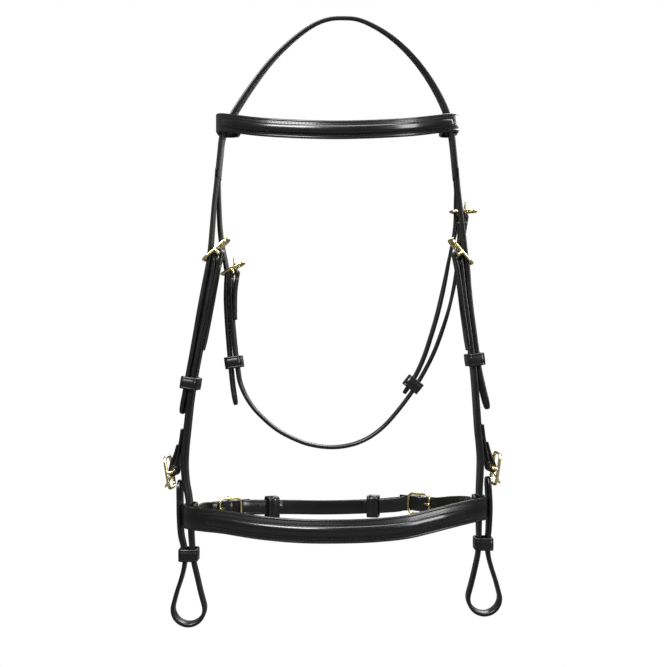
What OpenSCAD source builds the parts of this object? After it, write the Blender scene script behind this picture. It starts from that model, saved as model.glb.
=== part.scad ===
// Snaffle bridle without its bit, in the shape it takes when it hangs by the headpiece.
// +Z is up, -Y is the front (the browband side), and the origin is on the outer face of the headpiece's crown.

/* [Leather] */
// Width of the cheekpieces and of the billets that hold them
cheek_w = 16; // [14:0.5:16]
// Width of the throatlash, its billets and the rear noseband straps
throat_w = 13; // [11:0.5:13]
// Thickness of the cheekpieces and of the headpiece
strap_t = 3.2; // [2.8:0.1:3.2]
// Thickness of the throatlash
throat_t = 3; // [2.6:0.1:3]
// Thickness of the bands and billets of the noseband
band_t = 2.2; // [1.8:0.1:2.2]
// Thickness of leather skived down to turn round a buckle bar
skived_t = 2; // [1.6:0.1:2]
// Height of the browband
browband_h = 15; // [13:0.5:16]
// Height of the noseband
noseband_h = 19.5; // [16:0.5:20]
// How far the raised centre of a band stands proud
pad_rise = 3; // [2:0.5:4]

/* [Buckles] */
// Outside length of a cheek or bit buckle frame
large_l = 29; // [28.5:0.5:29.5]
// Outside width of a cheek or bit buckle frame
large_w = 24.5; // [23.5:0.5:26]
// Wire radius of a cheek or bit buckle frame
large_r = 1.35; // [1.2:0.05:1.4]
// Outside length of a throatlash or chin buckle frame
small_l = 23; // [22.5:0.5:23.5]
// Outside width of a throatlash or chin buckle frame
small_w = 20; // [19:0.5:21]
// Wire radius of a throatlash or chin buckle frame
small_r = 1.15; // [1:0.05:1.2]
// How far the centre bar lies below the frame
bar_dip = 4; // [3.9:0.1:4.1]

/* [Bit loops] */
// Radius of the bit loops, to the middle of the strap
loop_r = 13.4; // [12:0.5:13.5]

/* [Keepers] */
// Length of a keeper along its strap
keeper_l = 10.5; // [8:0.5:12]
// Wall of a keeper
keeper_t = 1.8; // [1.4:0.2:2]

/* [Hidden] */
$fn = 48;
leather = [0.07, 0.06, 0.055];
brass = [0.85, 0.68, 0.3];
running_gap = 0.05;   // radial play of a tongue on its bar
fold_gap = 0.3;       // play between a bar and the leather round it
tongue_slot = 4.4;    // width of the slot that lets a tongue turn in its fold
crown_w = cheek_w + throat_w;
crown_t = 3.4;
crown_lean = 0.21;    // slope of the crown's width, its rear edge higher
arch_h = 100;         // height of the arch over which that slope fades out
loop_spread = 15;     // angle above the horizontal where a bit loop's sides leave its arc
steps = 3;            // rings for each span of a route

// A buckle is [bar, size, side, tilt, toe]: tilt leans the tongue end towards +X, and side is +1 where it faces +X.
LARGE = [large_l, large_w, large_r, 1.5];
SMALL = [small_l, small_w, small_r, 1.2];
CHEEK_L = [[-99, 0, -200.7], LARGE, -1, 49, 0.06];
CHEEK_R = [[103, 0, -202.3], LARGE, 1, -41.5, -0.06];
BIT_L = [[-137.4, 0, -386.1], LARGE, 1, 171, 0.12];
BIT_R = [[131.7, 0, -382.7], LARGE, -1, 188.6, -0.12];
THROAT_L = [[-87.5, 25.4, -216.2], SMALL, -1, 62, 0.1];
THROAT_R = [[110.6, 24.2, -167.3], SMALL, -1, 88, 0.3];
// The chin buckles lie flat in the rear of the noseband: [bar, size, side, tilt].
CHIN_L = [[-95.4, 56, -424], SMALL, 1, 7.5];
CHIN_R = [[76, 64, -421], SMALL, -1, 7.5];
// How far each tongue stands open from its frame's end bar.
CHEEK_OPEN = 0;
BIT_OPEN = 12;
THROAT_L_OPEN = 34;
THROAT_R_OPEN = 46;

// Route points are [x, y, z, toe], and toe slants the strap's width towards +X at its rear edge.
CROWN = [
    [-100.6, 6.5, -137, 0], [-98.8, 6.5, -118, 0], [-96, 6.5, -98.5, 0], [-87.5, 6.5, -82.2, 0],
    [-72, 6.5, -58.4, 0], [-55.5, 6.5, -36.8, 0], [-38.5, 6.5, -19.9, 0], [-22, 6.5, -7.3, 0],
    [-7.5, 6.5, -0.9, 0], [6.5, 6.5, 0.4, 0], [21, 6.5, -1.4, 0], [39, 6.5, -10.2, 0],
    [55.5, 6.5, -22.8, 0], [70.5, 6.5, -39, 0], [83.5, 6.5, -58, 0], [94, 6.5, -79.5, 0],
    [98.6, 6.5, -99, 0], [100.8, 6.5, -118, 0], [102.6, 6.5, -137, 0]
];
CHEEK_BILLET_L = [
    [-100.4, 0, -129, 0], [-101.4, 0, -142, 0], [-103.2, 0, -158, 0], [-104.9, 0, -180, 0.03],
    [-106, 0, -194, 0.05], [-107, 0, -205, 0.08], [-108.4, 0, -214, 0.1], [-110.6, 0, -226, 0.13],
    [-114.3, 0, -246.5, 0.16], [-118, 0, -268, 0.16], [-121.6, 0, -288.5, 0.16],
    [-124.8, 0, -306, 0.17], [-127.2, 0, -320, 0.18], [-130.6, 0, -337, 0.18]
];
CHEEK_BILLET_R = [
    [102.4, 0, -129, 0], [103.4, 0, -142, 0], [105.4, 0, -160, 0], [107.6, 0, -180, -0.03],
    [109, 0, -194, -0.05], [110, 0, -204, -0.08], [111.2, 0, -213, -0.1], [112.2, 0, -229, -0.12],
    [114.2, 0, -249, -0.13], [117, 0, -270, -0.13], [118.9, 0, -284, -0.13],
    [121, 0, -299, -0.14], [124.2, 0, -314, -0.15], [128.8, 0, -333, -0.16]
];
THROAT_BILLET_L = [
    [-100.4, 14.5, -129, 0], [-100.9, 15.5, -142, 0.02], [-100.8, 18.5, -158, 0.05],
    [-100.4, 22, -175, 0.08], [-98.8, 25, -192, 0.1], [-96, 26, -206, 0.1], [-94.4, 26, -217, 0.1],
    [-94.8, 26, -228, 0.1], [-95, 26.5, -242, 0.1], [-94, 27.5, -262, 0.1], [-92.4, 29, -284, 0.1],
    [-91, 29.5, -300, 0.1], [-89.4, 30, -316, 0.1], [-87, 30, -331, 0.1]
];
THROAT_BILLET_R = [
    [102.4, 14.5, -129, 0], [103.2, 18, -142, 0.05], [104.2, 23.4, -154, 0.2], [104.8, 26.2, -166, 0.28],
    [104, 26.7, -178, 0.24], [101.6, 27, -190, 0.12], [98.2, 27.5, -206, 0.05],
    [95.8, 28, -219, 0], [92, 28, -237, -0.05], [87.6, 28, -255, -0.05], [82.4, 28, -272.5, -0.05],
    [76.4, 29, -290.5, -0.05], [69, 30, -306.5, -0.05], [59.5, 31, -321, -0.05]
];
CHEEKPIECE_L = [
    [-101.8, 0, -200.7, 0.06], [-103, 0, -212, 0.1], [-105, 0, -226, 0.13], [-108.8, 0, -246.5, 0.16],
    [-112.9, 0, -268.5, 0.16], [-117, 0, -289, 0.16], [-120.2, 0, -306, 0.17], [-123.6, 0, -328, 0.18],
    [-126.2, 0, -351, 0.2], [-127.6, 0, -364, 0.2], [-128.4, 0, -376, 0.2], [-128.2, 0, -386, 0.18],
    [-127, 0, -397, 0.16], [-124.9, 0, -408, 0.14], [-123.3, 0, -424, 0.12], [-122.7, 0, -440, 0.08],
    [-121.8, 0, -452, 0.04], [-120.6, 0, -463, 0], [-117.8, 0, -475, 0]
];
TURN_BACK_L = [
    [-96.2, 0, -200.7, 0.06], [-99.6, 0, -212, 0.1], [-102.3, 0, -226, 0.13],
    [-106.2, 0, -246.5, 0.16], [-110.4, 0, -268.5, 0.16], [-113.4, 0, -283, 0.16]
];
BIT_BILLET_L = [
    [-130.6, 0, -475, 0], [-128.2, 0, -463, 0], [-128.7, 0, -452, 0.04], [-131.4, 0, -439, 0.08],
    [-132.2, 0, -424, 0.12], [-132.4, 0, -410, 0.12], [-132.5, 0, -401, 0.12], [-132.3, 0, -393.5, 0.12]
];
CHEEKPIECE_R = [
    [105.8, 0, -202.3, -0.06], [106.5, 0, -214, -0.1], [107.8, 0, -229, -0.12], [110.3, 0, -249, -0.13],
    [113.1, 0, -270, -0.13], [115, 0, -284, -0.13], [116.8, 0, -299, -0.14], [118.1, 0, -313, -0.15],
    [119.2, 0, -328, -0.16], [120.8, 0, -351, -0.17], [122.2, 0, -364, -0.18], [122.8, 0, -376, -0.16],
    [122.4, 0, -389, -0.14], [121.8, 0, -402, -0.12], [121.6, 0, -418, -0.1], [121.4, 0, -434, -0.06],
    [121.4, 0, -446, -0.02], [120.6, 0, -456, 0], [118.6, 0, -466, 0]
];
TURN_BACK_R = [
    [100.2, 0, -202.3, -0.06], [102.9, 0, -214, -0.1], [105.2, 0, -229, -0.12], [107.7, 0, -249, -0.13],
    [110.6, 0, -270, -0.13], [112.4, 0, -283, -0.13]
];
BIT_BILLET_R = [
    [131.5, 0, -466, 0], [129.2, 0, -456, 0], [128.9, 0, -446, -0.02], [129.8, 0, -434, -0.06],
    [130.3, 0, -418, -0.1], [129.9, 0, -407, -0.12], [129.3, 0, -398, -0.12], [129, 0, -390.5, -0.12]
];
CHAPE_L = [
    [-134.6, 0, -386.1, 0.12], [-134, 0, -377.5, 0.14], [-132.2, 0, -369, 0.18],
    [-130.3, 0, -359.5, 0.2], [-128.95, 0, -350, 0.2]
];
CHAPE_BACK_L = [
    [-140.2, 0, -386.1, 0.12], [-138, 0, -378, 0.14], [-135, 0, -371, 0.18], [-133, 0, -363.5, 0.19]
];
CHAPE_R = [
    [128.9, 0, -382.7, -0.12], [128.1, 0, -375.5, -0.14], [126.2, 0, -367, -0.16],
    [124.5, 0, -357, -0.17], [123.1, 0, -346, -0.17]
];
CHAPE_BACK_R = [
    [134.5, 0, -382.7, -0.12], [131.9, 0, -375.8, -0.14], [129, 0, -368.5, -0.16], [127.2, 0, -361, -0.17]
];
THROATLASH = [
    [-90, 25.4, -216.2, 0.1], [-90.6, 25.6, -232, 0.1], [-90.2, 27, -249, 0.1], [-89.2, 28, -265, 0.1],
    [-87.2, 29.5, -286, 0.1], [-85.4, 30, -299, 0.08], [-83.2, 31, -312, 0.06], [-77.4, 32, -325.5, 0.03],
    [-67.8, 33, -338.5, 0], [-51, 34, -353.2, 0], [-32, 35, -363, 0], [-18, 35, -367, 0],
    [-5, 35, -368.4, 0], [7, 35, -367.6, 0], [19, 35, -364.6, 0], [31, 34, -358.6, 0],
    [43, 33, -349, 0], [56, 32, -334, 0], [68, 31, -317.5, 0], [77.5, 30, -301.5, 0],
    [85.6, 29, -285, 0], [92, 28.5, -268, 0], [97.4, 28, -251, 0.05], [101.6, 28, -234, 0.1],
    [104.6, 27, -217, 0.15], [106.6, 26.2, -199, 0.2], [107.8, 25.2, -183, 0.25], [108, 24.2, -167.3, 0.3]
];
THROAT_TURN_L = [
    [-85, 25.4, -216.2, 0.1], [-87.2, 25.6, -232, 0.1], [-87.6, 27, -249, 0.1], [-87, 27.5, -257, 0.1]
];
THROAT_TURN_R = [
    [113.2, 24.2, -167.3, 0.3], [111, 25.2, -183, 0.25], [109.4, 26.2, -199, 0.2], [108.6, 26.5, -207, 0.18]
];
BROWBAND = [
    [-83, -9.5, -91.3], [-82.8, 2, -91.3], [-83.4, 17, -91.3], [-86, 25.5, -91.3], [-92, 28, -91.3],
    [-98.2, 25.5, -91.3], [-100.4, 17, -91.3], [-100.5, 0, -91.3], [-99.2, -14, -91.8],
    [-93.6, -30, -94], [-81.6, -46, -97.8], [-60, -62, -102.5], [-30, -72, -105.6], [0, -75, -106.7],
    [30, -72, -105.6], [60, -62, -102.5], [83, -46, -97.8], [96, -30, -94], [101.8, -14, -91.8],
    [103, 0, -91.3], [102.8, 17, -91.3], [101, 25.5, -91.3], [96, 27.8, -91.3],
    [91.4, 25.5, -91.3], [90, 17, -91.3], [89.8, 2, -91.3], [90, -9.5, -91.3]
];
NOSEBAND = [
    [-118.9, -10, -423], [-119.4, 0, -423], [-118.8, 8, -423], [-121.2, 12.4, -423],
    [-125.2, 11.6, -423], [-127, 6, -423], [-128, -4, -423], [-127.6, -12, -423], [-121, -24, -423],
    [-108, -35, -423], [-92, -44, -423.4], [-62, -58, -426], [-30, -67, -427.5], [0, -70, -427.5],
    [30, -67, -427], [56, -60, -425.4], [74, -52, -422.6], [92, -43, -419.4], [108, -33, -417],
    [119, -23, -416], [126, -12, -416], [126.2, -4, -416], [125.4, 6, -416], [123.6, 11.6, -416],
    [119.6, 12.4, -416], [117.2, 8, -416], [117.6, 0, -416], [117.2, -10, -416]
];
CHIN_STRAP = [[-72.6, 70.8, -425], [-42, 80.6, -426.4], [-8, 84.6, -427.2], [28, 82.8, -426], [58, 76.5, -423]];

// A keeper is [centre, lean, toe, strap width, clear depth across the straps]: lean turns its top towards +X.
KEEPER_CHEEK_L = [[-123.2, 0, -311, 9], 0.17, cheek_w, 10.8];
KEEPER_CHEEK_R = [[117.9, 0, -291, -7.6], -0.135, cheek_w, 10.6];
KEEPER_THROAT_L = [[-88.5, 29.4, -294, -8.5], 0.1, throat_w, 11.2];
KEEPER_THROAT_R = [[67.2, 30.6, -313.2, 38], 0, throat_w, 11.8];
KEEPER_BIT_L = [[-124.8, 0, -456.5, 0], 0.02, cheek_w, 12.8];
KEEPER_BIT_R = [[125.1, 0, -447, 0], -0.02, cheek_w, 12.2];

// ---- Routes and sweeps ----

function unit(v) = v / norm(v);
function place(p) = [p.x, p.y, p.z];
function end_at(p, i) = p[min(max(i, 0), len(p) - 1)];
function curve_at(a, b, c, d, t) =
    0.5 * (2 * b + (c - a) * t + (2 * a - 5 * b + 4 * c - d) * t * t + (3 * b - a - 3 * c + d) * t * t * t);

// The points of a smooth curve through the points p.
function spline(p, n = steps) = [
    for (i = [0 : len(p) - 2], k = [0 : n - 1]) curve_at(end_at(p, i - 1), p[i], p[i + 1], end_at(p, i + 2), k / n),
    p[len(p) - 1]
];
function heading(p, i) = unit(place(end_at(p, i + 1)) - place(end_at(p, i - 1)));

// The direction of an upright strap's width: along Y, with its toe, and the lean of the crown.
function strap_across(p) = [p[3], 1, crown_lean * max(0, 1 + p.z / arch_h)];

// A strap's share of its full width, for a tip that narrows to a rounded point.
function tip_share(away, tip) = tip > 0 && away < tip ? 0.35 + 0.65 * sqrt(away / tip) : 1;

function section(centre, along, across, w, t) = let (
    wide = unit(across - (across * along) * along),
    deep = cross(along, wide)
) [for (s = [[-1, -1], [1, -1], [1, 1], [-1, 1]]) centre + wide * (s.x * w / 2) + deep * (s.y * t / 2)];

module sweep(rings) {
    n = len(rings);
    sides = [for (i = [0 : n - 2], k = [0 : 3]) let (a = 4 * i + k, b = 4 * i + (k + 1) % 4) each [
        [a, a + 4, b], [b, a + 4, b + 4]
    ]];
    last = 4 * (n - 1);
    ends = [[0, 1, 2], [0, 2, 3], [last, last + 2, last + 1], [last, last + 3, last + 2]];
    polyhedron(points = [for (r = rings) each r], faces = concat(sides, ends), convexity = 8);
}

// A flat strap along a route of [x, y, z, toe], with an optional pointed tip at its last point.
module strap(route, w, t, tip = 0, n = steps) {
    p = spline(route, n);
    finish = place(p[len(p) - 1]);
    sweep([
        for (i = [0 : len(p) - 1]) section(
            place(p[i]), heading(p, i), strap_across(p[i]), w * tip_share(norm(place(p[i]) - finish), tip), t
        )
    ]);
}

// A band that stands on its edge, along a route of [x, y, z].
module band(route, h, t, tip = 0, n = steps) {
    p = spline(route, n);
    finish = p[len(p) - 1];
    sweep([
        for (i = [0 : len(p) - 1])
            section(p[i], heading(p, i), [0, 0, 1], h * tip_share(norm(p[i] - finish), tip), t)
    ]);
}

// ---- Buckles ----

// The axes of a buckle: out of its face, along its bar, and towards its tongue's end.
function flat_x(b) = unit([1, -b[4], 0]);
function buckle_axes(b) = let (x = flat_x(b), y = unit([b[4], 1, 0]), z = [0, 0, 1], s = b[2], a = b[3]) [
    s * (cos(a) * x - sin(a) * z), s * y, sin(a) * x + cos(a) * z
];
function chin_out(b) = [b[2] * 0.6, -0.8, 0];
function chin_top(b) = [-b[2] * 0.8, -0.6, 0];
function chin_axes(b) = let (n = chin_out(b), v = chin_top(b), a = b[3]) [
    n * cos(a) + v * sin(a), [0, 0, b[2]], v * cos(a) - n * sin(a)
];
// A point beside a chin buckle: v along the strap towards the noseband's end, u out of the buckle's face.
function by_chin(b, v, u) = b[0] + v * chin_top(b) + u * chin_out(b);

module at(origin, axes) {
    multmatrix([for (i = [0 : 2]) [axes[0][i], axes[1][i], axes[2][i], origin[i]]]) children();
}

// A bar of round wire between two points of the YZ plane, off the bar by x.
module wire(x, from, to, r) {
    d = to - from;
    translate([x, from.x, from.y]) rotate([-atan2(d.x, d.y), 0, 0]) cylinder(r = r, h = norm(d));
}

// A quarter turn of round wire about [x, centre], starting at an angle in the YZ plane.
module corner(x, centre, turn, bend, r) {
    translate([x, centre.x, centre.y]) rotate([0, 90, 0]) rotate([0, 0, turn])
        rotate_extrude(angle = 90) translate([bend, 0]) circle(r = r);
}

// A centre-bar buckle: a rounded wire frame with a dipped bar across its middle.
module frame(size) {
    l = size[0] / 2 - size[2];
    w = size[1] / 2 - size[2];
    r = size[2];
    bend = 5;
    lug = size[3] + 0.1;
    color(brass) {
        for (s = [-1, 1]) {
            wire(bar_dip, [s * w, -(l - bend)], [s * w, l - bend], r);
            wire(bar_dip, [-(w - bend), s * l], [w - bend, s * l], r);
            translate([-lug, s * w, 0]) rotate([0, 90, 0]) cylinder(r = lug, h = lug + bar_dip + 0.2);
        }
        corner(bar_dip, [w - bend, l - bend], 90, bend, r);
        corner(bar_dip, [-(w - bend), l - bend], 180, bend, r);
        corner(bar_dip, [-(w - bend), -(l - bend)], 270, bend, r);
        corner(bar_dip, [w - bend, -(l - bend)], 0, bend, r);
        wire(0, [-w, 0], [w, 0], size[3]);
    }
}

// The angle from the frame's length at which a tongue rests on the end bar.
function rest_angle(size) = atan2(bar_dip + size[2] + 1.25, size[0] / 2 - size[2]);

// A tongue that turns on the bar. It stands open from the end bar by some degrees.
module tongue(size, open) {
    eye = size[3] + running_gap;
    reach = norm([bar_dip + size[2] + 1.25, size[0] / 2 - size[2]]) + 1.2;
    color(brass) difference() {
        union() {
            rotate([90, 0, 0]) cylinder(r = eye + 1.1, h = 3, center = true);
            rotate([0, rest_angle(size) + open, 0]) {
                translate([0, 0, eye + 0.3]) cylinder(r1 = 1.15, r2 = 0.8, h = reach - eye - 1.1);
                translate([0, 0, reach - 0.8]) sphere(r = 0.8);
            }
        }
        rotate([90, 0, 0]) cylinder(r = eye, h = 4, center = true);
    }
}

// Leather turned round a bar: a tube as wide as the strap.
module fold(size, w) {
    bore = size[3] + fold_gap;
    rotate([90, 0, 0]) difference() {
        cylinder(r = bore + skived_t, h = w, center = true);
        cylinder(r = bore, h = w + 1, center = true);
    }
}

// The room that a tongue needs in the leather round its bar.
module tongue_room(size) {
    reach = size[3] + fold_gap + skived_t + 1;
    rotate([90, 0, 0]) cylinder(r = reach, h = tongue_slot, center = true);
}

// ---- Leather ----

module headpiece() {
    color(leather) {
        strap(CROWN, crown_w, crown_t);
        strap(CHEEK_BILLET_L, cheek_w, strap_t, tip = 12);
        strap(CHEEK_BILLET_R, cheek_w, strap_t, tip = 12);
        strap(THROAT_BILLET_L, throat_w, throat_t, tip = 10);
        strap(THROAT_BILLET_R, throat_w, throat_t, tip = 10);
    }
}

module browband_strip() { color(leather) band(BROWBAND, browband_h, band_t); }

// The part of a band's route between two points, moved out of its face by some distance.
function face_route(route, from, to, away) = [
    for (i = [from : to]) route[i] + away * unit(cross([0, 0, 1], heading(route, i)))
];

// The raised centre of a band: a padded roll on its outer face.
module raise(route, from, to, h) {
    p = spline(face_route(route, from, to, -band_t / 2), steps);
    n = len(p);
    profile = [[-1, -0.1], [-0.86, 0.5], [-0.5, 0.88], [0, 1], [0.5, 0.88], [0.86, 0.5], [1, -0.1]];
    m = len(profile);
    rings = [for (i = [0 : n - 1]) let (
        along = heading(p, i),
        out = -unit(cross([0, 0, 1], along)),
        up = cross(out, along) * -1,
        share = min(1, sqrt(min(i, n - 1 - i) / 4) * 0.85 + 0.15)
    ) [for (q = profile) p[i] + up * (q.x * h / 2) + out * (q.y * pad_rise * share)]];
    sides = [for (i = [0 : n - 2], k = [0 : m - 1]) let (a = m * i + k, b = m * i + (k + 1) % m) each [
        [a, a + m, b], [b, a + m, b + m]
    ]];
    ends = [[for (k = [0 : m - 1]) k], [for (k = [m - 1 : -1 : 0]) m * (n - 1) + k]];
    color(leather) polyhedron(points = [for (r = rings) each r], faces = concat(sides, ends), convexity = 6);
}

module browband_raise() { raise(BROWBAND, 9, 17, browband_h * 0.48); }

// A bit loop's arc, open at its top between its two sides.
module loop_arc(centre) {
    reach = 4 * loop_r;
    translate(centre) rotate([90, 0, 0]) linear_extrude(cheek_w, center = true) difference() {
        circle(r = loop_r + strap_t / 2, $fn = 96);
        circle(r = loop_r - strap_t / 2, $fn = 96);
        polygon([
            [0, 0], [reach * cos(loop_spread), reach * sin(loop_spread)], [0, 2 * reach],
            [-reach * cos(loop_spread), reach * sin(loop_spread)]
        ]);
    }
}

// Where a bit loop's side leaves its arc, and a point further up it. Side is +1 at the +X side.
function loop_leave(centre, side, on) =
    centre + [side * (loop_r * cos(loop_spread) - on * sin(loop_spread)), 0, loop_r * sin(loop_spread) + on * cos(loop_spread)];
function loop_side(centre, side) = [for (on = [11.5, -0.2]) let (p = loop_leave(centre, side, on)) [p.x, p.y, p.z, 0]];
function reversed(p) = [for (i = [len(p) - 1 : -1 : 0]) p[i]];

LOOP_L = [-124.8, 0, -502.5];
LOOP_R = [125.6, 0, -493.3];

// A cheekpiece: turned round its top buckle's bar, down to the bit loop, and back up as the bit billet.
module cheekpiece(buckle, main, back, centre, inner, billet) {
    color(leather) difference() {
        union() {
            at(buckle[0], buckle_axes(buckle)) fold(buckle[1], cheek_w);
            strap(concat(main, loop_side(centre, inner)), cheek_w, strap_t);
            strap(back, cheek_w, skived_t);
            loop_arc(centre);
            strap(concat(reversed(loop_side(centre, -inner)), billet), cheek_w, strap_t, tip = 8);
        }
        at(buckle[0], buckle_axes(buckle)) {
            tongue_room(buckle[1]);
            rotate([90, 0, 0]) cylinder(r = buckle[1][3] + fold_gap, h = cheek_w + 1, center = true);
        }
    }
}
module left_cheekpiece() { cheekpiece(CHEEK_L, CHEEKPIECE_L, TURN_BACK_L, LOOP_L, 1, BIT_BILLET_L); }
module right_cheekpiece() { cheekpiece(CHEEK_R, CHEEKPIECE_R, TURN_BACK_R, LOOP_R, -1, BIT_BILLET_R); }

// A chape: a short strap, sewn to the cheekpiece, that holds the bit buckle by its bar.
module chape(buckle, main, back) {
    color(leather) difference() {
        union() {
            at(buckle[0], buckle_axes(buckle)) fold(buckle[1], cheek_w);
            strap(main, cheek_w, skived_t);
            strap(back, cheek_w, skived_t);
        }
        at(buckle[0], buckle_axes(buckle)) {
            tongue_room(buckle[1]);
            rotate([90, 0, 0]) cylinder(r = buckle[1][3] + fold_gap, h = cheek_w + 1, center = true);
        }
    }
}
module left_bit_chape() { chape(BIT_L, CHAPE_L, CHAPE_BACK_L); }
module right_bit_chape() { chape(BIT_R, CHAPE_R, CHAPE_BACK_R); }

module throatlash() {
    color(leather) difference() {
        union() {
            for (b = [THROAT_L, THROAT_R]) at(b[0], buckle_axes(b)) fold(b[1], throat_w);
            strap(THROATLASH, throat_w, throat_t);
            strap(THROAT_TURN_L, throat_w, skived_t);
            strap(THROAT_TURN_R, throat_w, skived_t);
        }
        for (b = [THROAT_L, THROAT_R]) at(b[0], buckle_axes(b)) {
            tongue_room(b[1]);
            rotate([90, 0, 0]) cylinder(r = b[1][3] + fold_gap, h = throat_w + 3, center = true);
        }
    }
}

module noseband_strip() { color(leather) band(NOSEBAND, noseband_h, band_t); }
module noseband_raise() { raise(NOSEBAND, 9, 18, noseband_h * 0.46); }

// A noseband billet: sewn inside the noseband's end, and buckled to the chin strap behind the jaw.
function billet_route(b, start) = concat(start, [for (q = [[18, -0.7], [12.4, -0.6], [9.6, 0.2], [5.9, 2.2], [2.3, 4.25], [0, 4.9], [-2.4, 4.5], [-6, 3.35], [-9.7, 2.75], [-14, 2.7]]) by_chin(b, q.x, q.y)]);
module noseband_billet(b, start, tail) {
    color(leather) difference() {
        band(concat(billet_route(b, start), tail), throat_w, band_t, tip = 8);
        at(b[0], [chin_out(b), [0, 0, b[2]], chin_top(b)]) translate([3, 0, 6.2]) cube([8, 3.6, 7.2], center = true);
    }
}
module left_noseband_billet() {
    noseband_billet(CHIN_L, [[-116.8, -4, -421.4], [-116.4, 7, -421.4], [-115.2, 22, -422], [-113.4, 35, -423]],
        [[-77.8, 64.3, -424.7], [-70.2, 66.8, -425], [-58, 70.8, -425.4], [-47, 74.6, -426]]);
}
module right_noseband_billet() {
    noseband_billet(CHIN_R, [[115, -4, -414.6], [114.4, 7, -414.8], [110.4, 27, -416.6], [102, 42.6, -418.6]],
        [[56.4, 72, -423], [45, 75.3, -424.4], [33, 77.8, -425.4], [24.5, 79.2, -425.9]]);
}

module chin_strap() {
    legs = skived_t / 2 + SMALL[3] + fold_gap;
    color(leather) difference() {
        union() {
            for (b = [CHIN_L, CHIN_R]) {
                at(b[0], chin_axes(b)) fold(b[1], throat_w);
                band([for (q = [[0, legs], [-5, 1.2], [-9, 0.35], [-14, 0.25], [-22, 0.3]]) by_chin(b, q.x, q.y)], throat_w, skived_t);
            }
            band(
                concat([by_chin(CHIN_L, 0, -legs), by_chin(CHIN_L, -7, -1.4)], CHIN_STRAP,
                    [by_chin(CHIN_R, -7, -1.4), by_chin(CHIN_R, 0, -legs)]),
                throat_w, 2.4
            );
        }
        for (b = [CHIN_L, CHIN_R]) at(b[0], chin_axes(b)) {
            tongue_room(b[1]);
            rotate([90, 0, 0]) cylinder(r = b[1][3] + fold_gap, h = throat_w + 3, center = true);
        }
    }
}

// ---- Keepers ----

// A leather loop with its opening along Z: clear by depth in X and by width in Y.
module keeper(width, depth) {
    color(leather) difference() {
        cube([depth + 2 * keeper_t, width + 2.2 + 2 * keeper_t, keeper_l], center = true);
        cube([depth, width + 2.2, keeper_l + 1], center = true);
    }
}
module strap_keeper(k) {
    translate(place(k[0])) rotate([0, 0, -atan(k[1])]) rotate([0, k[0][3], 0]) keeper(k[2], k[3]);
}
// A chin keeper lies along the chin strap, which runs at an angle there.
module chin_keeper(centre, turn) {
    translate(centre) rotate([0, 0, turn]) rotate([0, 90, 0]) rotate([0, 0, 90]) keeper(throat_w + 1, 10.4);
}
module left_chin_keeper() { chin_keeper([-57.4, 73.2, -425.6], 21); }
module right_chin_keeper() { chin_keeper([34, 79.8, -425.5], -10.5); }

headpiece();
browband_strip();
browband_raise();
left_cheekpiece();
right_cheekpiece();
left_bit_chape();
right_bit_chape();
throatlash();
noseband_strip();
noseband_raise();
left_noseband_billet();
right_noseband_billet();
chin_strap();
at(CHEEK_L[0], buckle_axes(CHEEK_L)) frame(LARGE);  // left_cheek_buckle_frame
at(CHEEK_L[0], buckle_axes(CHEEK_L)) tongue(LARGE, CHEEK_OPEN);  // left_cheek_buckle_tongue
at(CHEEK_R[0], buckle_axes(CHEEK_R)) frame(LARGE);  // right_cheek_buckle_frame
at(CHEEK_R[0], buckle_axes(CHEEK_R)) tongue(LARGE, CHEEK_OPEN);  // right_cheek_buckle_tongue
at(BIT_L[0], buckle_axes(BIT_L)) frame(LARGE);  // left_bit_buckle_frame
at(BIT_L[0], buckle_axes(BIT_L)) tongue(LARGE, BIT_OPEN);  // left_bit_buckle_tongue
at(BIT_R[0], buckle_axes(BIT_R)) frame(LARGE);  // right_bit_buckle_frame
at(BIT_R[0], buckle_axes(BIT_R)) tongue(LARGE, BIT_OPEN);  // right_bit_buckle_tongue
at(THROAT_L[0], buckle_axes(THROAT_L)) frame(SMALL);  // left_throatlash_buckle_frame
at(THROAT_L[0], buckle_axes(THROAT_L)) tongue(SMALL, THROAT_L_OPEN);  // left_throatlash_buckle_tongue
at(THROAT_R[0], buckle_axes(THROAT_R)) frame(SMALL);  // right_throatlash_buckle_frame
at(THROAT_R[0], buckle_axes(THROAT_R)) tongue(SMALL, THROAT_R_OPEN);  // right_throatlash_buckle_tongue
at(CHIN_L[0], chin_axes(CHIN_L)) frame(SMALL);  // left_chin_buckle_frame
at(CHIN_L[0], chin_axes(CHIN_L)) tongue(SMALL, 0);  // left_chin_buckle_tongue
at(CHIN_R[0], chin_axes(CHIN_R)) frame(SMALL);  // right_chin_buckle_frame
at(CHIN_R[0], chin_axes(CHIN_R)) tongue(SMALL, 0);  // right_chin_buckle_tongue
strap_keeper(KEEPER_CHEEK_L);  // left_cheek_keeper
strap_keeper(KEEPER_CHEEK_R);  // right_cheek_keeper
strap_keeper(KEEPER_THROAT_L);  // left_throatlash_keeper
strap_keeper(KEEPER_THROAT_R);  // right_throatlash_keeper
strap_keeper(KEEPER_BIT_L);  // left_bit_keeper
strap_keeper(KEEPER_BIT_R);  // right_bit_keeper
left_chin_keeper();
right_chin_keeper();
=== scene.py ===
"""A snaffle bridle without its bit, hanging by its headpiece: black leather straps and brass buckles.

Lengths in the tables are in millimetres, in the row frame. Meshes are built in metres.
"""
import math

import bpy
from mathutils import Matrix, Vector


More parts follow.
